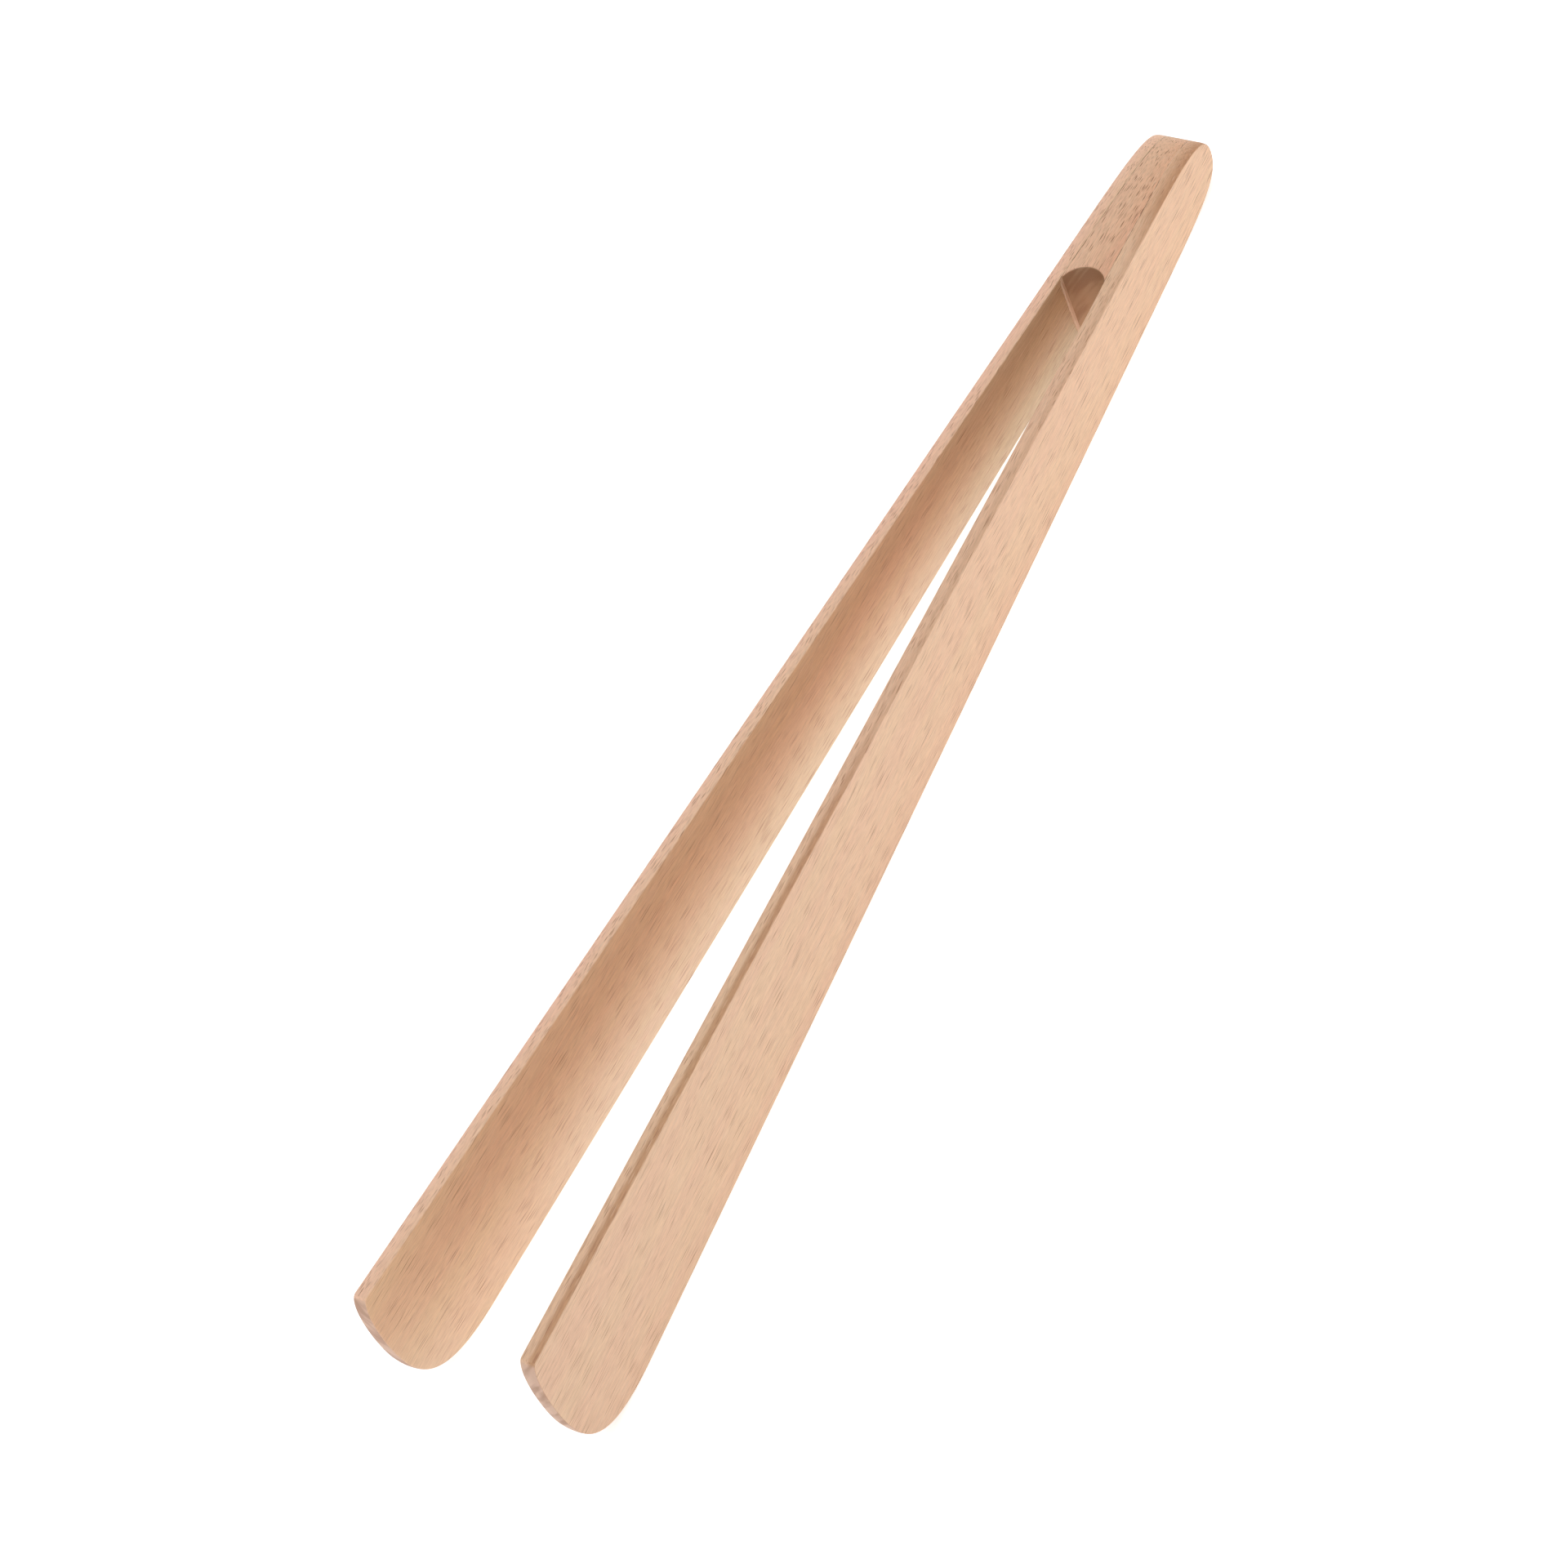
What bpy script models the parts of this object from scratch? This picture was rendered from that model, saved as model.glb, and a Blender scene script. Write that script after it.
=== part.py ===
"""Print tongs: two flat beech arms glued to a tapered head block.

Metres, +Z up. The tongs lie on their side on the plane z = 0, on the lower narrow faces of both
arms and of the head block. +X runs from the head to the tips, and y = 0 is the middle plane
between the arms. The origin is at the bottom centre of the bounding box.

The side outline (seen along Y) is shared by all pieces: a round head, two straight edges that
widen towards the tips, and a rounded tip. It is drawn about the outline's centre line, with s
along the line from the head and w across it, and then turned so that the lower edge lies flat.
The plan (seen along Z) is a V: each arm is a strip of constant thickness between two upright
planes, and the block fills the space between the arms at the head. The outer faces are mirror
images, and the right arm is a little thicker than the left one, on its inner side.

Each arm bends near its root like a leaf spring. Here it is cut there into a root, which stays on
the block, and a blade, which turns about an upright axis in the cut.
"""
import bpy
import bmesh
from math import cos, radians, sin, tan
from mathutils import Vector
from mathutils.geometry import interpolate_bezier

# Driving dimensions
LENGTH = 0.300              # head end to tip, along the centre line
ARM_THICKNESS = {-1: 0.00275, 1: 0.00315}       # of the left arm (side -1) and the right one
HEAD_THICKNESS = 0.0111     # across both arms and the block, at the head end
SPREAD = radians(2.73)      # lean of each arm from the middle plane
HEAD_WIDTH = 0.0150         # width between the two long edges, run back to the head end
TAPER = radians(2.14)       # lean of each long edge from the centre line

# The head: a rounded arch, symmetrical about the centre line
ARCH_LENGTH = 0.035
ARCH_FULLNESS_ACROSS = 0.86     # handle across the centre line, as a share of the half width
ARCH_FULLNESS_ALONG = 0.745     # handle back along the edge, as a share of the arch's length

# The tip: its furthest point lies above the centre line, with a tight upper corner and a long
# round lower one. A handle is a share of the corner's own length or height.
TIP_POINT_OFFSET = 0.0053
UPPER_CORNER = {"length": 0.0027, "across": 0.60, "along": 0.62}
LOWER_CORNER = {"length": 0.0215, "across": 0.70, "along": 0.80}

# The slot's closed end, in the head block
SLOT_START = 0.0412         # from the head end to the deepest point of the concave end
SLOT_DEPTH = 0.0046         # depth of the concave end

# Where the arms bend
BEND_X = 0.080              # from the head end to the bend's axis
CUT_GAP = 0.0004            # between an arm's root and its blade
GLUE_GAP = 0.0003           # between an arm's root and the block
EDGE_ROUNDING = 0.00035     # sanded edges

# Fineness of the faceted surfaces
ARC_POINTS = 18             # points along each rounded stretch of the outline
SLOT_CUTTER_SIDES = 64
EDGE_SEGMENTS = 2
CIRCULAR_PROFILE = 0.5      # the bevel's profile value for a circular arc
SHARP_ANGLE = radians(30)   # edges bent more than this are shaded sharp
SAME_PLACE = 1e-6

BEECH_ARM = (0.79, 0.53, 0.36, 1.0)
BEECH_BLOCK = (0.72, 0.46, 0.30, 1.0)
WOOD_ROUGHNESS = 0.62


def half_width(s):
    """Half the width of the side outline on its straight stretch."""
    return HEAD_WIDTH / 2 + s * tan(TAPER)


def edge_point(s, side):
    """A point (s, w) on the straight upper (side 1) or lower (side -1) edge."""
    return Vector((s, side * half_width(s)))


def bezier(start, handle_1, handle_2, end):
    """Points of a cubic curve in the (s, w) plane."""
    curve = interpolate_bezier(start, handle_1, handle_2, end, ARC_POINTS)
    return [Vector((point.x, point.y)) for point in curve]


def arch_side(side):
    """Half of the head's arch, from the head end to the straight edge."""
    start = Vector((0.0, 0.0))
    end = edge_point(ARCH_LENGTH, side)
    handle_1 = Vector((0.0, end.y * ARCH_FULLNESS_ACROSS))
    handle_2 = edge_point(ARCH_LENGTH * (1 - ARCH_FULLNESS_ALONG), side)
    return bezier(start, handle_1, handle_2, end)


def tip_corner(side, corner):
    """One corner of the tip, from the straight edge to the furthest point."""
    end = Vector((LENGTH, TIP_POINT_OFFSET))
    corner_start = LENGTH - corner["length"]
    start = edge_point(corner_start, side)
    handle_1 = edge_point(corner_start + corner["length"] * corner["along"], side)
    handle_2 = Vector((LENGTH, end.y + (start.y - end.y) * corner["across"]))
    return bezier(start, handle_1, handle_2, end)


def side_point(point):
    """Centre-line coordinates (s, w) to (x, z), with the lower edge flat on z = 0."""
    s, w = point
    raised = w + HEAD_WIDTH / 2
    return Vector((s * cos(TAPER) - w * sin(TAPER), s * sin(TAPER) + raised * cos(TAPER)))


HEAD_OUTLINE = [side_point(p) for p in reversed(arch_side(1))]
HEAD_OUTLINE += [side_point(p) for p in arch_side(-1)[1:]]
TIP_OUTLINE = [side_point(p) for p in tip_corner(-1, LOWER_CORNER)]
TIP_OUTLINE += [side_point(p) for p in reversed(tip_corner(1, UPPER_CORNER)[:-1])]

FIRST_X = min(p.x for p in HEAD_OUTLINE)
LAST_X = max(p.x for p in TIP_OUTLINE)
MIDDLE_X = (FIRST_X + LAST_X) / 2

UPPER_EDGE_START = side_point(edge_point(0.0, 1))
UPPER_EDGE_SLOPE = tan(2 * TAPER)


def upper_edge_z(x):
    """Height of the straight upper edge."""
    return UPPER_EDGE_START.y + (x - UPPER_EDGE_START.x) * UPPER_EDGE_SLOPE


def outer_y(x):
    """Half the distance between the arms' outer faces."""
    return HEAD_THICKNESS / 2 + x * tan(SPREAD)


def inner_y(x, side):
    """Distance from the middle plane to the inner face of the arm on that side."""
    return outer_y(x) - ARM_THICKNESS[side] / cos(SPREAD)


def head_to(x):
    """The side outline from the head end to an upright cut at x."""
    return HEAD_OUTLINE + [Vector((x, 0.0)), Vector((x, upper_edge_z(x)))]


def tip_from(x):
    """The side outline from an upright cut at x to the tip."""
    return [Vector((x, 0.0))] + TIP_OUTLINE + [Vector((x, upper_edge_z(x)))]


def wood(name, color):
    """Plain satin beech."""
    material = bpy.data.materials.new(name)
    material.use_nodes = True
    shader = material.node_tree.nodes["Principled BSDF"]
    shader.inputs["Base Color"].default_value = color
    shader.inputs["Roughness"].default_value = WOOD_ROUGHNESS
    shader.inputs["Metallic"].default_value = 0.0
    return material


def slab(name, outline, near_y, far_y, material, origin, sharp_x=None):
    """A solid with the given side outline, between the surfaces y = near_y(x) and far_y(x).

    Its long edges are lightly rounded, except those in the upright cut at sharp_x.
    """
    mesh = bpy.data.meshes.new(name)
    shape = bmesh.new()
    near = [shape.verts.new((p.x, near_y(p.x), p.y)) for p in outline]
    far = [shape.verts.new((p.x, far_y(p.x), p.y)) for p in outline]
    caps = [shape.faces.new(near), shape.faces.new(far)]
    for i in range(len(outline)):
        j = (i + 1) % len(outline)
        shape.faces.new((near[i], near[j], far[j], far[i]))
    bmesh.ops.recalc_face_normals(shape, faces=shape.faces)
    rim = {edge for cap in caps for edge in cap.edges}
    if sharp_x is not None:
        def in_cut(edge):
            return all(abs(vert.co.x - sharp_x) < SAME_PLACE for vert in edge.verts)

        rim = {edge for edge in rim if not in_cut(edge)}
    bmesh.ops.bevel(shape, geom=list(rim), offset=EDGE_ROUNDING, segments=EDGE_SEGMENTS,
                    profile=CIRCULAR_PROFILE, affect="EDGES", clamp_overlap=True)
    bmesh.ops.translate(shape, verts=shape.verts, vec=-Vector(origin))
    shape.to_mesh(mesh)
    shape.free()
    mesh.materials.append(material)
    mesh.shade_smooth()
    mesh.set_sharp_from_angle(angle=SHARP_ANGLE)
    piece = bpy.data.objects.new(name, mesh)
    piece.location = origin
    bpy.context.collection.objects.link(piece)
    return piece


def slot_cutter():
    """An upright cylinder, taller than the block, that hollows the block's lower end.

    Its wall meets the left arm, which leaves the wider half of the gap, at the slot's full depth.
    """
    half_gap = inner_y(SLOT_START + SLOT_DEPTH, -1)
    radius = (half_gap ** 2 + SLOT_DEPTH ** 2) / (2 * SLOT_DEPTH)
    block_height = upper_edge_z(SLOT_START)
    mesh = bpy.data.meshes.new("slot_cutter")
    shape = bmesh.new()
    bmesh.ops.create_cone(shape, cap_ends=True, segments=SLOT_CUTTER_SIDES, radius1=radius,
                          radius2=radius, depth=2 * block_height)
    shape.to_mesh(mesh)
    shape.free()
    cutter = bpy.data.objects.new("slot_cutter", mesh)
    cutter.location = (SLOT_START + radius, 0.0, block_height / 2)
    cutter.hide_render = True
    cutter.display_type = "WIRE"
    bpy.context.collection.objects.link(cutter)
    return cutter


def head_block(material):
    """The tapered spacer between the arms, with a concave round lower end."""
    def near(x):
        return -(inner_y(x, -1) - GLUE_GAP)

    def far(x):
        return inner_y(x, 1) - GLUE_GAP

    block = slab("head_block", head_to(SLOT_START + SLOT_DEPTH), near, far, material, (0, 0, 0),
                 sharp_x=SLOT_START + SLOT_DEPTH)
    cut = block.modifiers.new("slot_end", "BOOLEAN")
    cut.operation = "DIFFERENCE"
    cut.solver = "EXACT"
    cut.object = slot_cutter()
    return block


def arm(name, side, material):
    """An arm's root and blade: side -1 is the left arm, side 1 the right."""
    def outer(x):
        return side * outer_y(x)

    def inner(x):
        return side * inner_y(x, side)

    root_end = BEND_X - CUT_GAP / 2
    blade_start = BEND_X + CUT_GAP / 2
    bend_axis = (BEND_X, side * (outer_y(BEND_X) + inner_y(BEND_X, side)) / 2, 0.0)
    root = slab(f"{name}_root", head_to(root_end), inner, outer, material, (0, 0, 0), root_end)
    blade = slab(f"{name}_blade", tip_from(blade_start), inner, outer, material, bend_axis,
                 blade_start)
    return root, blade


def main():
    for item in list(bpy.data.objects):
        bpy.data.objects.remove(item, do_unlink=True)
    arm_wood = wood("beech_arm", BEECH_ARM)
    block_wood = wood("beech_block", BEECH_BLOCK)
    pieces = [head_block(block_wood)]
    pieces.append(pieces[0].modifiers["slot_end"].object)
    for name, side in (("left_arm", -1), ("right_arm", 1)):
        pieces.extend(arm(name, side, arm_wood))
    centre = bpy.data.objects.new("tongs_centre", None)
    centre.location = (-MIDDLE_X, 0.0, 0.0)
    bpy.context.collection.objects.link(centre)
    for piece in pieces:
        piece.parent = centre


main()
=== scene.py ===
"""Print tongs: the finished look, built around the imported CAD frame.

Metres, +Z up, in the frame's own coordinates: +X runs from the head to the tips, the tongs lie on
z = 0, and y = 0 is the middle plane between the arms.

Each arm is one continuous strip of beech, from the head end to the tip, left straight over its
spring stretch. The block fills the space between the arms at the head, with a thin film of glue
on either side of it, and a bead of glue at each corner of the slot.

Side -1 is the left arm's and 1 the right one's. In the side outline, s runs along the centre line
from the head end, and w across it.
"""
from math import cos, radians, sin, tan

import bmesh
import bpy
import numpy as np
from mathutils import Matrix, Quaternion, Vector


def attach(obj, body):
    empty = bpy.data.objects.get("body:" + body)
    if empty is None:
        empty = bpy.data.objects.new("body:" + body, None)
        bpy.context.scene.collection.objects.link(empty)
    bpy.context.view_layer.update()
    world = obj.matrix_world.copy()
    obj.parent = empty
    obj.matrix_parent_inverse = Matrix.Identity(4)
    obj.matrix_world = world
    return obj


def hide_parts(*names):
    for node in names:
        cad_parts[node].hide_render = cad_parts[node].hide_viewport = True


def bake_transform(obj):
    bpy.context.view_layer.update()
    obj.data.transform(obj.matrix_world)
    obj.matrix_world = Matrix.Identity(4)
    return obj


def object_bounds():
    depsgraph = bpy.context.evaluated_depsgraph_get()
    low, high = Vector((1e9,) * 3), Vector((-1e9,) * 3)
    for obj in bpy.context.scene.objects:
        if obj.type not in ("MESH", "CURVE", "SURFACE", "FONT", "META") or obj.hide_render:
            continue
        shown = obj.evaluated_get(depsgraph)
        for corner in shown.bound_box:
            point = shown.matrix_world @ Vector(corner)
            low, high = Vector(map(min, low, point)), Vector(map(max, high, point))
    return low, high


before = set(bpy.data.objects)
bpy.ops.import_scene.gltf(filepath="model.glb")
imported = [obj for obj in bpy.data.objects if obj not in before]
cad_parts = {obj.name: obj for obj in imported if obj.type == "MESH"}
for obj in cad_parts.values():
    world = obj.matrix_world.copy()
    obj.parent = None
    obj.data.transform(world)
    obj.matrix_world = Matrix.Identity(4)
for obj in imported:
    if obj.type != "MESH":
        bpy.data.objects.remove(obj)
CAD_LOW, CAD_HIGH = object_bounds()

# The design's driving dimensions
LENGTH = 0.300              # head end to tip, along the side outline's centre line
ARM_THICKNESS = {-1: 0.00275, 1: 0.00315}       # of the left arm (side -1) and the right one
HEAD_THICKNESS = 0.0111     # across both arms and the block, at the head end
SPREAD = radians(2.73)      # lean of each arm from the middle plane
HEAD_WIDTH = 0.0150         # width between the two long edges, run back to the head end
TAPER = radians(2.14)       # lean of each long edge from the centre line
ARCH_LENGTH = 0.035
ARCH_FULLNESS_ACROSS = 0.86
ARCH_FULLNESS_ALONG = 0.745
TIP_POINT_OFFSET = 0.0053
UPPER_CORNER = {"length": 0.0027, "across": 0.60, "along": 0.62}
LOWER_CORNER = {"length": 0.0215, "across": 0.70, "along": 0.80}
SLOT_START = 0.0412
SLOT_DEPTH = 0.0046
HEAD_END_X = CAD_LOW.x      # the head end's place in the frame

# How the wood is finished
CROWN_ANGLE = radians(11)       # how far the narrow faces curve over, at their edges
OUTER_ARRIS = 0.00016           # radius of the sanded edges, outside and inside the tongs
INNER_ARRIS = 0.00020
SUPPORT = 0.00025               # width of the flat border that keeps the broad faces flat
HEAD_FLUSH_END = 0.0440         # up to here the arms are sanded flush with the block
INNER_EDGE_START = 0.0560       # from here the inner edges are fully rounded
SLOT_ARRIS = 0.00045
GLUE_FILM = 0.00012
GLUE_CLEARANCE = 0.000004
GLUE_BEAD = 0.00034             # radius of the glue that was squeezed out into the slot
BEAD_SWELLS = ((0.18, 11, 0.0), (0.10, 29, 1.3))    # share of the radius, waves and their start
BEAD_END = 8                    # the higher, the more abruptly a bead ends

# Where in the plank each piece's grain comes from, and how far it leans from the centre line
LEFT_BOARD = (0.0, 0.0, 0.0)
RIGHT_BOARD = (0.7, 0.11, 0.07)
BLOCK_BOARD = (0.9, 0.31, 0.17)
GLUE_BOARD = (0.4, 0.2, 0.1)
LEFT_LEAN = radians(2.4)
RIGHT_LEAN = radians(0.4)

# Fineness of the meshes
ARCH_STATIONS = 26
STRAIGHT_STATIONS = 72
TIP_STATIONS = 40
FACE_ROWS = 8
CROWN_STEPS = 8
ARRIS_STEPS = 4
BLOCK_COLUMNS = 16
BLOCK_ROWS = 5                  # along its straight stretch
WALL_ROWS = 14
BEAD_ROWS = 36
BEAD_STEPS = 8
CURVE_SAMPLES = 400
BLOCK_SHARP_ANGLE = radians(60)

# Camera: the aim point is in the frame, and the angles say where the camera stands from it
CAMERA_AIM = Vector((0.0162, -0.0088, 0.0110))
CAMERA_DISTANCE = 0.800
CAMERA_AZIMUTH = radians(52.81)
CAMERA_ELEVATION = radians(52.45)
CAMERA_ROLL = radians(-30.06)
CAMERA_LENS = 95.9

# Studio light: a glowing table, a soft panel overhead and a bright band along the horizon
TABLE_LIGHT = 0.67
TABLE_REACH = 4.0               # from the middle to each edge
PANEL_LIGHT = 2.11
PANEL_EDGE = (radians(48), radians(18))     # from the zenith: where the panel starts, and is full
BAND_LIGHT = 1.28
BAND_EDGE = (radians(16), radians(8))       # above the horizon: where the band starts, and is full

# How the colour drifts over a piece, as shares of its red, green and blue: some of it is the
# wood's own, and some is painted light, sheen and shade
# Painted sheen and light from below: a paler band towards the left arm's lower edge
PAINTED_SHEEN = (1.01, 1.27, 1.58)
TAN_HEARTWOOD = (0.99, 0.98, 0.90)
# Painted shade: a darker band along the outer side of the right arm's narrow faces
PAINTED_EDGE_SHADE = (0.72, 0.60, 0.50)
TAN_EDGE = (0.97, 0.92, 0.88)
# Painted light and sheen on the left arm's narrow faces
PAINTED_EDGE_LIGHT = (1.16, 1.13, 1.36)
# Painted shade on the left arm's inner face beside the slot
SLOT_PAINTED_SHADE = (0.84, 0.87, 0.84)
# Painted light and shade on the right arm's broad faces: lighter at the head, darker at the tip
HEAD_PAINTED_LIGHT = 1.10
TIP_PAINTED_SHADE = 0.95

# Where each drift starts and is full. Across, 1 is the upper edge and -1 the lower one; share is
# 0 at an arm's inner face and 1 at its outer one; the others are metres from the head end.
# Where the painted sheen reaches across the arm, and where it thins along it
SHEEN_ACROSS = (0.75, -0.95)
SHEEN_THINS = (0.230, 0.285)
# Where the painted shade beside the slot ends
SLOT_SHADE_ENDS = (0.060, 0.125)
AT_HEAD_ENDS = (0.018, 0.040)
# The painted shade band on the right arm's narrow faces: its place across, where it strengthens,
# and its place at the head
EDGE_SHADE_SHARE = (0.42, 0.74)
EDGE_SHADE_GROWS = (0.150, 0.185)
HEAD_SHADE_SHARE = (-0.3, 1.1)
BLOCK_BROWNER = (-1.0, 1.6)
# How faint the painted shade band is over the spring
FAINT_EDGE_SHADE = 0.3

# The grain's features: sizes along, across and through the board, in metres
SWAY = (0.045, 0.020, 0.020)
SWAY_REACH = 0.0022
BANDS = (0.120, 0.0060, 0.0040)
FIBRES = (0.0034, 0.00024, 0.00024)
STREAKS = (0.0220, 0.00042, 0.00042)
MOTTLE = (0.0011, 0.00040, 0.00040)
RINGS = (0.012, 0.0022, 0.0100)
RING_TURN = radians(50)
GLUE_GAPS = (0.0035, 0.0035, 0.0035)

# Flecks: the cell that each one has to itself, a shift of the cells, and how few are strong
FLECK_RADIUS = 0.38             # as a share of the cell
SMALL_FLECKS = ((0.0080, 0.00024, 0.00024), (3.1, 7.7, 1.3), 1.8)
TINY_FLECKS = ((0.0040, 0.00018, 0.00018), (9.2, 2.4, 5.5), 1.0)
LIGHT_FLECKS = ((0.0070, 0.00028, 0.00028), (5.9, 4.1, 8.8), 1.0)
COARSE_FLECKS = ((0.0042, 0.00036, 0.00036), (1.7, 6.3, 2.9), 1.3)
SMALL_STRENGTH = 0.90
TINY_STRENGTH = 0.36
LIGHT_STRENGTH = 0.35
END_GRAIN_STRENGTH = 0.85


# ---------------------------------------------------------------- the side outline

def half_width(s):
    """Half the width of the side outline on its straight stretch."""
    return HEAD_WIDTH / 2 + s * tan(TAPER)


def bezier(points):
    """Finely spaced points of a cubic curve."""
    t = np.linspace(0.0, 1.0, CURVE_SAMPLES)[:, None]
    a, b, c, d = (np.array(point) for point in points)
    return (1 - t) ** 3 * a + 3 * (1 - t) ** 2 * t * b + 3 * (1 - t) * t ** 2 * c + t ** 3 * d


def edge_curve(side, corner):
    """One long edge as points (s, w), from the head end to the tip's furthest point."""
    def edge(s):
        return (s, side * half_width(s))

    arch_end = edge(ARCH_LENGTH)
    arch = bezier([(0.0, 0.0), (0.0, arch_end[1] * ARCH_FULLNESS_ACROSS),
                   edge(ARCH_LENGTH * (1 - ARCH_FULLNESS_ALONG)), arch_end])
    start_s = LENGTH - corner["length"]
    start = edge(start_s)
    handle_w = TIP_POINT_OFFSET + (start[1] - TIP_POINT_OFFSET) * corner["across"]
    tip = bezier([start, edge(start_s + corner["length"] * corner["along"]),
                  (LENGTH, handle_w), (LENGTH, TIP_POINT_OFFSET)])
    return np.concatenate([arch, tip])


def stations():
    """Places along the centre line, close together where the outline turns."""
    arch = ARCH_LENGTH * np.linspace(0, 1, ARCH_STATIONS) ** 2
    tip_start = LENGTH - LOWER_CORNER["length"]
    straight = np.linspace(ARCH_LENGTH, tip_start, STRAIGHT_STATIONS)
    tip = LENGTH - LOWER_CORNER["length"] * np.linspace(1, 0, TIP_STATIONS) ** 2
    return np.concatenate([arch, straight[1:], tip[1:]])


def outward(loop):
    """Unit normals of a closed loop of (s, w) points."""
    ahead = np.roll(loop, -1, axis=0) - loop
    ahead /= np.linalg.norm(ahead, axis=1)[:, None]
    tangent = ahead + np.roll(ahead, 1, axis=0)
    tangent /= np.linalg.norm(tangent, axis=1)[:, None]
    return np.stack([-tangent[:, 1], tangent[:, 0]], axis=1)


def to_frame(sw):
    """Centre-line coordinates (s, w) to the frame's (x, z)."""
    s, w = sw[..., 0], sw[..., 1]
    raised = w + HEAD_WIDTH / 2
    x = s * cos(TAPER) - w * sin(TAPER) + HEAD_END_X
    return x, s * sin(TAPER) + raised * cos(TAPER)


UPPER_CURVE = edge_curve(1, UPPER_CORNER)
LOWER_CURVE = edge_curve(-1, LOWER_CORNER)


def smooth(low, high, value):
    """0 below low, 1 above high, and an S-curve between them."""
    t = np.clip((value - low) / (high - low), 0.0, 1.0)
    return t * t * (3 - 2 * t)


def head_x(x):
    """Distance of a place in the frame from the head end."""
    return x - HEAD_END_X


def outer_y(x):
    """Half the distance between the arms' outer faces."""
    return HEAD_THICKNESS / 2 + head_x(x) * tan(SPREAD)


def inner_y(x, side):
    """Distance from the middle plane to the inner face of the arm on that side."""
    return outer_y(x) - ARM_THICKNESS[side] / cos(SPREAD)


# ---------------------------------------------------------------- mesh helpers

def new_piece(name, vertices, faces, material, attributes):
    """A smooth-shaded mesh object with its grain coordinates and masks."""
    mesh = bpy.data.meshes.new(name)
    mesh.from_pydata([tuple(v) for v in vertices], [], faces)
    mesh.validate()
    for label, values in attributes.items():
        kind = "FLOAT_VECTOR" if values.ndim == 2 else "FLOAT"
        field = "vector" if values.ndim == 2 else "value"
        layer = mesh.attributes.new(label, kind, "POINT")
        layer.data.foreach_set(field, values.astype(np.float32).ravel())
    mesh.materials.append(material)
    mesh.shade_smooth()
    piece = bpy.data.objects.new(name, mesh)
    bpy.context.scene.collection.objects.link(piece)
    return piece


def tube_faces(rings, count):
    """The faces between rings of vertices that are set one after the other."""
    faces = []
    for k in range(rings - 1):
        for i in range(count):
            j = (i + 1) % count
            faces.append((k * count + i, k * count + j, (k + 1) * count + j, (k + 1) * count + i))
    return faces


def closed_tube_faces(rings, count):
    """The same, with a face over each end."""
    ends = [tuple(range(count)), tuple(range((rings - 1) * count, rings * count))]
    return tube_faces(rings, count) + ends


def make_solid(piece):
    """Turns all faces outwards."""
    shape = bmesh.new()
    shape.from_mesh(piece.data)
    bmesh.ops.recalc_face_normals(shape, faces=shape.faces)
    shape.to_mesh(piece.data)
    shape.free()


# ---------------------------------------------------------------- the arms

def rim_profile(thickness):
    """The narrow face across an arm: (share of the thickness, inset, edge share) in order.

    Share 0 is the inner face and 1 the outer one. The face is a shallow crown that runs over
    into each broad face through a small round arris.
    """
    half = thickness / 2

    def half_profile(arris):
        crown = arris + (half - arris) / sin(CROWN_ANGLE)
        centre = crown * (1 - cos(CROWN_ANGLE)) + arris * cos(CROWN_ANGLE)
        steps = []
        for k in range(CROWN_STEPS + 1):
            angle = CROWN_ANGLE * k / CROWN_STEPS
            steps.append((crown * sin(angle), crown * (1 - cos(angle)), 1.0))
        for k in range(1, ARRIS_STEPS + 1):
            angle = CROWN_ANGLE + (radians(90) - CROWN_ANGLE) * k / ARRIS_STEPS
            depth = half - arris + arris * sin(angle)
            steps.append((depth, centre - arris * cos(angle), 1 - k / ARRIS_STEPS))
        steps.append((half, centre + SUPPORT, 0.0))
        return steps

    inner = [((half - d) / (2 * half), i, e) for d, i, e in half_profile(INNER_ARRIS)]
    outer = [((half + d) / (2 * half), i, e) for d, i, e in half_profile(OUTER_ARRIS)]
    return inner[:0:-1] + outer


def blend_tint(amount, tint):
    """Colour shares that go from none of a tint, where amount is 0, to all of it at 1."""
    return 1.0 + np.clip(amount, 0.0, 1.0)[:, None] * (np.array(tint) - 1.0)


def left_tint(along, across, share, edge):
    """The left arm's colour: tan wood, with painted sheen and light from below in a pale band
    towards the lower edge, and painted light and sheen on the narrow faces.

    The painted sheen is deepest on the inner face, and thins out towards the tip. The inner face
    has painted shade beside the slot, where it is darker.
    """
    # Painted sheen and light from below, deepest on the inner face and thinner towards the tip
    amount = smooth(*SHEEN_ACROSS, across) * (1.0 - 0.5 * share)
    sheen = blend_tint(amount * (1.0 - 0.5 * smooth(*SHEEN_THINS, along)), PAINTED_SHEEN)
    # Painted light and sheen on the narrow faces, most on their outer side
    pale = np.clip(edge * (0.5 + 0.6 * share), 0.0, 1.0)
    # Painted shade on the inner face beside the slot
    slot_shade = (1.0 - smooth(*SLOT_SHADE_ENDS, along)) * (1.0 - edge) * (1.0 - share)
    tint = sheen * np.array(TAN_HEARTWOOD) * blend_tint(pale, PAINTED_EDGE_LIGHT)
    return tint * blend_tint(slot_shade, SLOT_PAINTED_SHADE)


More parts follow.
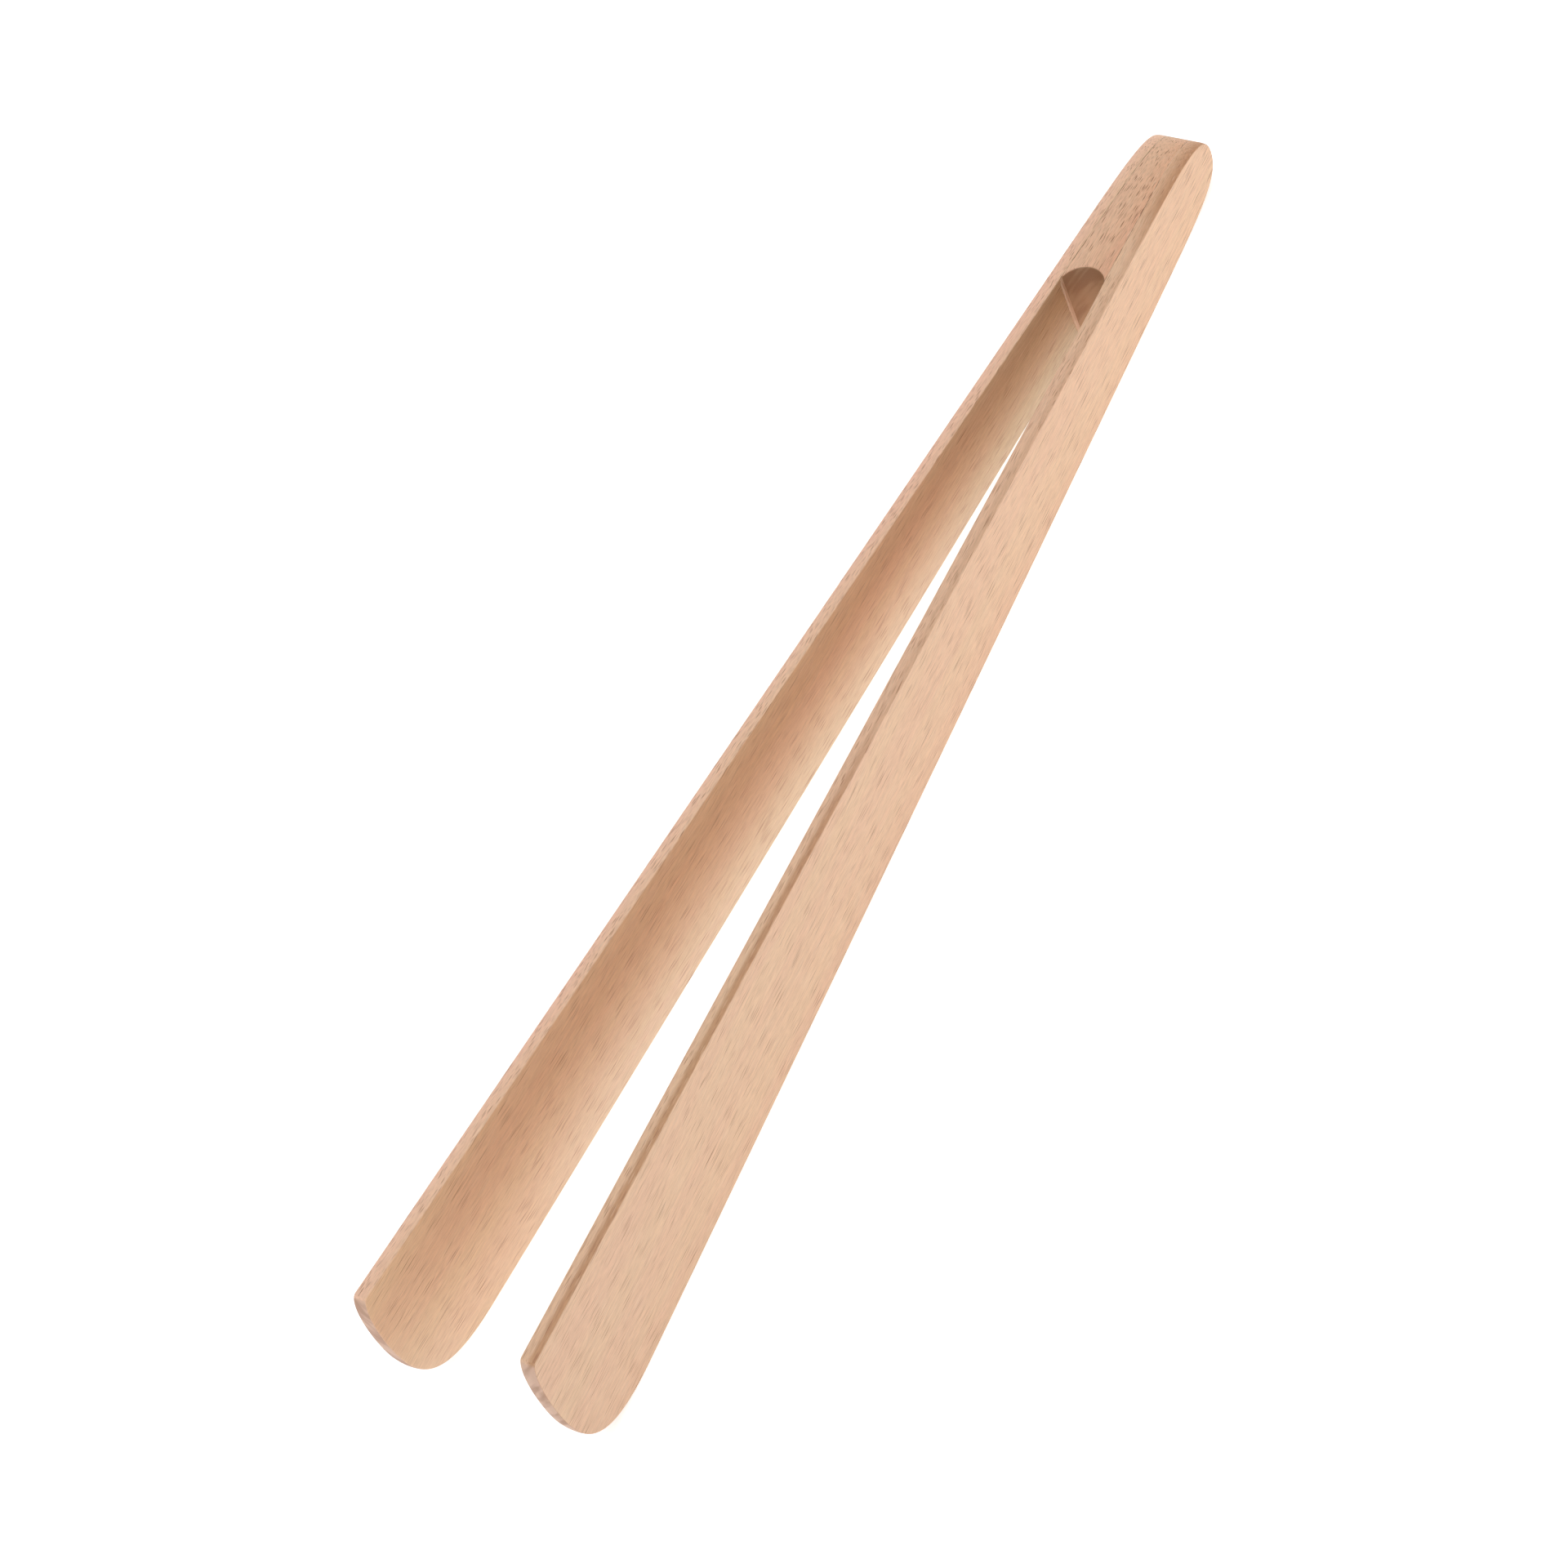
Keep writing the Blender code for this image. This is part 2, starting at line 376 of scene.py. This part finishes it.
def right_tint(along, across, share, edge):
    """The right arm's colour: painted shade in a darker band along the outer side of the narrow
    faces, tan narrow faces at the head, and painted light on the broad faces, less towards the
    tip.

    The painted shade is wide at the head, faint over the spring and strong again towards the tip.
    """
    at_head = 1.0 - smooth(*AT_HEAD_ENDS, along)
    # Painted shade in a band along the outer side of the narrow faces, wide at the head
    strength = FAINT_EDGE_SHADE + (1.0 - FAINT_EDGE_SHADE) * smooth(*EDGE_SHADE_GROWS, along)
    narrow = smooth(*EDGE_SHADE_SHARE, share) * strength
    wide = smooth(*HEAD_SHADE_SHARE, share)
    band_shade = (narrow + (wide - narrow) * at_head) * edge
    # Painted light on the broad faces, fading from the head to the tip
    painted_light = HEAD_PAINTED_LIGHT + (TIP_PAINTED_SHADE - HEAD_PAINTED_LIGHT) * along / LENGTH
    tint = blend_tint(edge * at_head, TAN_EDGE) * blend_tint(band_shade, PAINTED_EDGE_SHADE)
    return tint * (painted_light + (1.0 - painted_light) * edge)[:, None]


def block_tint(along, across, share, edge):
    """The block: a little browner towards the right arm."""
    return blend_tint(smooth(*BLOCK_BROWNER, share), TAN_EDGE) ** 2


def arm(name, side, board, grain_lean, tint, material):
    """One arm as a single strip of wood: side -1 is the left arm, 1 the right.

    board is the place of the strip in the plank that its grain comes from, grain_lean turns the
    grain from the strip's centre line towards its lower edge, and tint is one of the functions
    above.
    """
    along = stations()
    upper = np.stack([along, np.interp(along, UPPER_CURVE[:, 0], UPPER_CURVE[:, 1])], axis=1)
    lower = np.stack([along, np.interp(along, LOWER_CURVE[:, 0], LOWER_CURVE[:, 1])], axis=1)
    loop = np.concatenate([upper, lower[-2:0:-1]])
    normal = outward(loop)
    count = len(loop)
    last = len(along) - 1
    freedom = smooth(HEAD_FLUSH_END, INNER_EDGE_START, loop[:, 0])
    end_share = normal[:, 0] ** 2

    places, edges, ends = [], [], []
    for share, inset, edge in rim_profile(ARM_THICKNESS[side]):
        depth = inset * (freedom if share < 0.5 else np.ones(count))
        if edge == 0.0 and share < 0.5:
            # The flat border stays where the inner edge isn't rounded
            depth = np.maximum(depth, SUPPORT * (inset > INNER_ARRIS + SUPPORT))
        ring = loop - normal * depth[:, None]
        places.append(np.column_stack([ring, np.full(count, share)]))
        edges.append(np.full(count, edge))
        ends.append(end_share * edge)
    rings = len(places)
    faces = tube_faces(rings, count)

    for k in (0, rings - 1):
        ring = places[k]
        rows = {}
        for i in range(1, last):
            top, bottom = ring[i], ring[count - i]
            row = [k * count + i]
            for j in range(1, FACE_ROWS):
                places.append((top + (bottom - top) * j / FACE_ROWS)[None, :])
                edges.append(np.zeros(1))
                ends.append(np.zeros(1))
                row.append(rings * count + len(places) - rings - 1)
            row.append(k * count + count - i)
            rows[i] = row
        for i in range(1, last - 1):
            for j in range(FACE_ROWS):
                faces.append((rows[i][j], rows[i][j + 1], rows[i + 1][j + 1], rows[i + 1][j]))
        for j in range(FACE_ROWS):
            faces.append((k * count, rows[1][j], rows[1][j + 1]))
            faces.append((k * count + last, rows[last - 1][j + 1], rows[last - 1][j]))

    places = np.concatenate(places)
    x, z = to_frame(places)
    inner = inner_y(x, side)
    y = side * (inner + (outer_y(x) - inner) * places[:, 2])
    turn = np.array([[cos(grain_lean), sin(grain_lean)], [-sin(grain_lean), cos(grain_lean)]])
    depth = places[:, 2] * ARM_THICKNESS[side]
    grain = np.column_stack([places[:, :2] @ turn, depth]) + np.array(board)
    edges = np.concatenate(edges)
    across = places[:, 1] / half_width(places[:, 0])
    piece = new_piece(name, np.column_stack([x, y, z]), faces, material, {
        "grain": grain,
        "tint": tint(places[:, 0], across, places[:, 2], edges),
        "edge_share": edges,
        "end_share": np.concatenate(ends),
    })
    make_solid(piece)
    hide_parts(f"{name}_root", f"{name}_blade")
    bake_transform(piece)
    return piece


# ---------------------------------------------------------------- the head block and the glue

def corner_y(side):
    """Distance from the middle plane to an arm's inner face, at the slot's full depth."""
    return inner_y(SLOT_START + SLOT_DEPTH + HEAD_END_X, side)


def slot_radius():
    """Radius of the slot's round end, which meets the left arm at the slot's full depth."""
    return (corner_y(-1) ** 2 + SLOT_DEPTH ** 2) / (2 * SLOT_DEPTH)


def slot_end_x(y):
    """Distance from the head end to the slot's concave end, at a place across it."""
    radius = slot_radius()
    return SLOT_START + radius - np.sqrt(radius ** 2 - y ** 2)


def block_loop(y):
    """The block's side outline at a place across it: (s, w, edge share, end share) rows."""
    end = slot_end_x(y)
    top, bottom = [], []
    for curve, side, rows in ((UPPER_CURVE, 1, top), (LOWER_CURVE, -1, bottom)):
        places = ARCH_LENGTH * np.linspace(0, 1, ARCH_STATIONS) ** 2
        share = np.linspace(0, 1, BLOCK_ROWS + 1)[1:]
        straight = ARCH_LENGTH + (end - SLOT_ARRIS - ARCH_LENGTH) * share
        s = np.concatenate([places, straight])
        w = np.interp(s, curve[:, 0], curve[:, 1])
        for a, b in zip(s, w):
            rows.append((a, b, 1.0, 0.0))
        for k in range(1, ARRIS_STEPS + 1):
            angle = radians(90) * k / ARRIS_STEPS
            rows.append((end - SLOT_ARRIS + SLOT_ARRIS * sin(angle),
                         w[-1] - side * SLOT_ARRIS * (1 - cos(angle)), 1.0, k / ARRIS_STEPS))
    wall = [(end, top[-1][1] + (bottom[-1][1] - top[-1][1]) * k / WALL_ROWS, 1.0, 1.0)
            for k in range(1, WALL_ROWS)]
    return np.array(top + wall + bottom[:0:-1])


def stack(name, columns, board, material):
    """A solid from closed loops of (s, w, edge, end) set side by side at given places across."""
    count = len(columns[0][1])
    vertices, grain, tints, edges, ends = [], [], [], [], []
    for across, loop in columns:
        x, z = to_frame(loop)
        y = across(x)
        vertices.append(np.column_stack([x, y, z]))
        tints.append(block_tint(loop[:, 0], 0.0, y / inner_y(x, -1), loop[:, 2]))
        grain.append(np.column_stack([loop[:, :2], y]) + np.array(board))
        edges.append(loop[:, 2])
        ends.append(np.maximum(loop[:, 3], outward(loop[:, :2])[:, 0] ** 2))
    faces = closed_tube_faces(len(columns), count)
    vertices = np.concatenate(vertices)
    piece = new_piece(name, vertices, faces, material, {
        "grain": np.concatenate(grain),
        "tint": np.concatenate(tints),
        "edge_share": np.concatenate(edges),
        "end_share": np.concatenate(ends),
    })
    make_solid(piece)
    piece.data.set_sharp_from_angle(angle=BLOCK_SHARP_ANGLE)
    return piece


def block(material):
    """The spacer that the arms are glued to, with its concave end towards the tips."""
    columns = []
    for share in np.linspace(-1, 1, BLOCK_COLUMNS + 1):
        side = -1 if share < 0 else 1

        def across(x, share=share, side=side):
            return share * (inner_y(x, side) - GLUE_FILM)

        columns.append((across, block_loop(share * (corner_y(side) - GLUE_FILM))))
    piece = stack("block", columns, BLOCK_BOARD, material)
    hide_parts("head_block")
    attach(piece, "head")
    return piece


def glue_film(name, side, material):
    """The film of glue between the block and one arm."""
    columns = []
    for gap in (GLUE_CLEARANCE, GLUE_FILM - GLUE_CLEARANCE):
        def across(x, gap=gap):
            return side * (inner_y(x, side) - gap)

        columns.append((across, block_loop(corner_y(side) - gap)))
    piece = stack(name, columns, GLUE_BOARD, material)
    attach(piece, "head")
    return piece


def glue_bead(name, side, material):
    """The ridge of glue that was squeezed out where the block's thin horn ends on an arm."""
    corner = slot_end_x(corner_y(side))
    reach = np.interp(corner, UPPER_CURVE[:, 0], UPPER_CURVE[:, 1]) - 2 * SLOT_ARRIS
    vertices, grain = [], []
    for t in np.linspace(-1, 1, BEAD_ROWS):
        swell = 1.0
        for amount, waves, start in BEAD_SWELLS:
            swell += amount * sin(waves * t + start)
        radius = GLUE_BEAD * swell * (1 - abs(t) ** BEAD_END) + GLUE_CLEARANCE
        for k in range(BEAD_STEPS + 1):
            angle = radians(180) * k / BEAD_STEPS
            x, z = to_frame(np.array([corner + radius * cos(angle), reach * t]))
            y = side * (inner_y(x, side) - GLUE_CLEARANCE - radius * sin(angle))
            vertices.append((x, y, z))
            grain.append((corner, reach * t, side))
    faces = closed_tube_faces(BEAD_ROWS, BEAD_STEPS + 1)
    size = len(vertices)
    piece = new_piece(name, vertices, faces, material, {
        "grain": np.array(grain),
        "tint": np.ones((size, 3)),
        "edge_share": np.ones(size),
        "end_share": np.ones(size),
    })
    make_solid(piece)
    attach(piece, "head")
    return piece


# ---------------------------------------------------------------- materials

class Shader:
    """A material's node tree, built by calls that give back output sockets."""

    def __init__(self, name):
        self.material = bpy.data.materials.new(name)
        self.material.use_nodes = True
        self.tree = self.material.node_tree
        self.surface = self.tree.nodes["Principled BSDF"]

    def node(self, kind, inputs=(), **settings):
        made = self.tree.nodes.new(kind)
        for key, value in settings.items():
            setattr(made, key, value)
        for key, value in dict(inputs).items():
            self.feed(made.inputs[key], value)
        return made

    def feed(self, socket, value):
        if isinstance(value, bpy.types.NodeSocket):
            self.tree.links.new(value, socket)
        else:
            socket.default_value = value

    def attribute(self, label, output="Fac"):
        return self.node("ShaderNodeAttribute", attribute_name=label).outputs[output]

    def math(self, operation, a, b=0.0, c=0.0):
        return self.node("ShaderNodeMath", {0: a, 1: b, 2: c}, operation=operation).outputs[0]

    def scaled(self, vector, sizes, shift=(0.0, 0.0, 0.0)):
        """The vector with each direction divided by a feature size in metres."""
        scale = tuple(1.0 / size for size in sizes)
        made = self.node("ShaderNodeVectorMath", {0: vector, 1: scale, 2: shift},
                         operation="MULTIPLY_ADD")
        return made.outputs[0]

    def noise(self, vector, detail=2.0, roughness=0.5):
        made = self.node("ShaderNodeTexNoise", {"Vector": vector, "Scale": 1.0, "Detail": detail,
                                                "Roughness": roughness})
        return made.outputs["Fac"]

    def ramp(self, value, low, high, to_low=0.0, to_high=1.0):
        """A smooth step from to_low at low to to_high at high."""
        made = self.node("ShaderNodeMapRange", {"Value": value, "From Min": low, "From Max": high,
                                                "To Min": to_low, "To Max": to_high},
                         interpolation_type="SMOOTHSTEP")
        return made.outputs["Result"]

    def mix(self, factor, a, b, blend="MIX"):
        made = self.node("ShaderNodeMix", {0: factor, 6: a, 7: b}, data_type="RGBA",
                         blend_type=blend)
        return made.outputs[2]

    def spindles(self, vector, sizes, shift, rarity):
        """Scattered spindles along the grain: 1 in their middle, each with its own strength.

        The higher the rarity, the fewer of them are strong.
        """
        place = self.scaled(vector, sizes, shift)
        cells = self.node("ShaderNodeTexVoronoi", {"Vector": place, "Scale": 1.0}, feature="F1")
        near = self.ramp(cells.outputs["Distance"], FLECK_RADIUS / 2, FLECK_RADIUS, 1.0, 0.0)
        strength = self.node("ShaderNodeSeparateColor", {0: cells.outputs["Color"]}).outputs[0]
        return self.math("MULTIPLY", near, self.math("POWER", strength, rarity))


def rgb(red, green, blue):
    """A colour from its linear shares."""
    return (red, green, blue, 1.0)


ARM_BEECH = {
    "pink": rgb(0.85, 0.545, 0.367),
    "straw": rgb(0.85, 0.57, 0.372),
    "fleck": rgb(0.40, 0.17, 0.09),
    "coarse_strength": 0.58,
    "end_light": rgb(0.74, 0.50, 0.38),
    "end_dark": rgb(0.50, 0.29, 0.20),
}
BLOCK_BEECH = {
    "pink": rgb(0.87, 0.535, 0.365),
    "straw": rgb(0.87, 0.56, 0.37),
    "fleck": rgb(0.33, 0.12, 0.06),
    "coarse_strength": 1.00,
    "end_light": rgb(0.53, 0.34, 0.20),
    "end_dark": rgb(0.39, 0.22, 0.12),
}
PALE_FLECK = rgb(0.96, 0.74, 0.55)
GLUE_LIGHT = rgb(0.76, 0.48, 0.32)
GLUE_DARK = rgb(0.30, 0.13, 0.07)
GLUE_IN_SLOT = rgb(0.84, 0.60, 0.43)
WHITE = rgb(1.0, 1.0, 1.0)
TABLE_GREY = rgb(0.70, 0.70, 0.70)


def beech(name, pink, straw, fleck, coarse_strength, end_light, end_dark):
    """Sanded, unfinished beech: fine fibres, short dark ray flecks, pinkish and straw bands.

    coarse_strength is that of the coarse flecks, which only the narrow faces show.
    """
    sh = Shader(name)
    grain = sh.attribute("grain", "Vector")
    edge = sh.attribute("edge_share")
    end = sh.attribute("end_share")

    sway = sh.noise(sh.scaled(grain, SWAY), 1.0)
    sway = sh.math("MULTIPLY", sh.math("SUBTRACT", sway, 0.5), SWAY_REACH)
    grain = sh.node("ShaderNodeVectorMath", {
        0: grain,
        1: sh.node("ShaderNodeCombineXYZ", {1: sway, 2: sway}).outputs[0],
    }, operation="ADD").outputs[0]

    band = sh.ramp(sh.noise(sh.scaled(grain, BANDS), 2.0), 0.30, 0.70)
    fibre = sh.noise(sh.scaled(grain, FIBRES), 2.0, 0.6)
    streaks = sh.noise(sh.scaled(grain, STREAKS), 1.0)
    mottle = sh.noise(sh.scaled(grain, MOTTLE), 1.0)
    small = sh.spindles(grain, *SMALL_FLECKS)
    tiny = sh.spindles(grain, *TINY_FLECKS)
    light = sh.spindles(grain, *LIGHT_FLECKS)
    coarse = sh.math("MULTIPLY", sh.spindles(grain, *COARSE_FLECKS), edge)

    color = sh.mix(band, pink, straw)
    tone = sh.math("ADD", sh.ramp(fibre, 0.25, 0.75, 0.96, 1.07),
                   sh.ramp(mottle, 0.30, 0.70, -0.02, 0.02))
    tone = sh.math("ADD", tone, sh.ramp(streaks, 0.30, 0.70, -0.03, 0.03))
    grey = sh.node("ShaderNodeCombineColor", {0: tone, 1: tone, 2: tone}).outputs[0]
    color = sh.mix(1.0, color, grey, "MULTIPLY")
    # The tint attribute holds the wood's colour drift together with painted light, sheen and shade
    color = sh.mix(1.0, color, sh.attribute("tint", "Color"), "MULTIPLY")
    color = sh.mix(sh.math("MULTIPLY", light, LIGHT_STRENGTH), color, PALE_FLECK)
    dark = sh.math("MAXIMUM", sh.math("MULTIPLY", small, SMALL_STRENGTH),
                   sh.math("MULTIPLY", tiny, TINY_STRENGTH))
    dark = sh.math("MAXIMUM", dark, sh.math("MULTIPLY", coarse, coarse_strength))
    dark = sh.math("MULTIPLY", dark, sh.math("SUBTRACT", 1.0, end))
    color = sh.mix(dark, color, fleck)

    across = sh.node("ShaderNodeVectorRotate", {"Vector": grain, "Angle": RING_TURN},
                     rotation_type="X_AXIS").outputs[0]
    rings = sh.ramp(sh.noise(sh.scaled(across, RINGS), 2.0), 0.42, 0.60)
    end_color = sh.mix(rings, end_light, end_dark)
    end_amount = sh.math("MULTIPLY", sh.ramp(end, 0.35, 0.85), END_GRAIN_STRENGTH)
    color = sh.mix(end_amount, color, end_color)

    height = sh.math("SUBTRACT", sh.math("MULTIPLY", fibre, 0.35),
                     sh.math("MULTIPLY", dark, 0.8))
    height = sh.math("ADD", height, sh.math("MULTIPLY", mottle, 0.30))
    bump = sh.node("ShaderNodeBump", {"Strength": 0.35, "Distance": 0.00006, "Height": height})

    sh.feed(sh.surface.inputs["Base Color"], color)
    sh.feed(sh.surface.inputs["Roughness"], sh.ramp(fibre, 0.2, 0.8, 0.70, 0.56))
    sh.feed(sh.surface.inputs["Normal"], bump.outputs[0])
    sh.surface.inputs["Specular IOR Level"].default_value = 0.40
    return sh.material


def glue():
    """Dried wood glue, darkened by dust, that comes and goes along the joint."""
    sh = Shader("wood_glue")
    grain = sh.attribute("grain", "Vector")
    gaps = sh.ramp(sh.noise(sh.scaled(grain, GLUE_GAPS), 2.0), 0.40, 0.56)
    color = sh.mix(gaps, GLUE_LIGHT, GLUE_DARK)
    color = sh.mix(sh.attribute("end_share"), color, GLUE_IN_SLOT)
    sh.feed(sh.surface.inputs["Base Color"], color)
    sh.surface.inputs["Roughness"].default_value = 0.45
    return sh.material


# ---------------------------------------------------------------- studio

def direction(azimuth, elevation):
    """The unit vector that points that way, with azimuth measured from +X towards +Y."""
    return Vector((cos(elevation) * cos(azimuth), cos(elevation) * sin(azimuth), sin(elevation)))


def floor():
    """A plain, pale light table."""
    reach = TABLE_REACH
    mesh = bpy.data.meshes.new("floor")
    corners = [(-reach, -reach, 0), (reach, -reach, 0), (reach, reach, 0), (-reach, reach, 0)]
    mesh.from_pydata(corners, [], [(0, 1, 2, 3)])
    sh = Shader("light_table")
    sh.surface.inputs["Base Color"].default_value = TABLE_GREY
    sh.surface.inputs["Roughness"].default_value = 0.9
    sh.surface.inputs["Specular IOR Level"].default_value = 0.0
    sh.surface.inputs["Emission Color"].default_value = WHITE
    sh.surface.inputs["Emission Strength"].default_value = TABLE_LIGHT
    mesh.materials.append(sh.material)
    piece = bpy.data.objects.new("floor", mesh)
    bpy.context.scene.collection.objects.link(piece)


def sky():
    """A dark room with a soft panel overhead and a bright band along the horizon."""
    world = bpy.data.worlds.new("studio")
    bpy.context.scene.world = world
    world.use_nodes = True
    tree = world.node_tree
    place = tree.nodes.new("ShaderNodeTexCoord")
    height = tree.nodes.new("ShaderNodeSeparateXYZ")
    tree.links.new(place.outputs["Generated"], height.inputs[0])
    both = tree.nodes.new("ShaderNodeMath")
    both.operation = "ADD"
    levels = ((cos(PANEL_EDGE[0]), cos(PANEL_EDGE[1]), PANEL_LIGHT),
              (sin(BAND_EDGE[0]), sin(BAND_EDGE[1]), BAND_LIGHT))
    for slot, (start, full, light) in enumerate(levels):
        level = tree.nodes.new("ShaderNodeMapRange")
        level.interpolation_type = "SMOOTHSTEP"
        level.inputs["From Min"].default_value = start
        level.inputs["From Max"].default_value = full
        level.inputs["To Max"].default_value = light
        tree.links.new(height.outputs["Z"], level.inputs["Value"])
        tree.links.new(level.outputs["Result"], both.inputs[slot])
    background = tree.nodes["Background"]
    background.inputs["Color"].default_value = WHITE
    tree.links.new(both.outputs[0], background.inputs["Strength"])


def camera():
    """The photograph's viewpoint."""
    data = bpy.data.cameras.new("camera")
    data.lens = CAMERA_LENS
    data.clip_start = 0.01
    data.clip_end = 20.0
    made = bpy.data.objects.new("camera", data)
    bpy.context.scene.collection.objects.link(made)
    back = direction(CAMERA_AZIMUTH, CAMERA_ELEVATION)
    made.rotation_mode = "QUATERNION"
    made.location = CAMERA_AIM + back * CAMERA_DISTANCE
    roll = Quaternion((0, 0, 1), CAMERA_ROLL)
    made.rotation_quaternion = (-back).to_track_quat("-Z", "Y") @ roll
    bpy.context.scene.camera = made


def main():
    camera()
    floor()
    sky()
    bpy.context.scene.view_settings.view_transform = "Standard"
    arm_wood = beech("beech_arm", **ARM_BEECH)
    block_wood = beech("beech_block", **BLOCK_BEECH)
    arm("left_arm", -1, LEFT_BOARD, LEFT_LEAN, left_tint, arm_wood)
    arm("right_arm", 1, RIGHT_BOARD, RIGHT_LEAN, right_tint, arm_wood)
    block(block_wood)
    film = glue()
    glue_film("glue_film_left", -1, film)
    glue_film("glue_film_right", 1, film)
    glue_bead("glue_bead_left", -1, film)
    glue_bead("glue_bead_right", 1, film)


main()
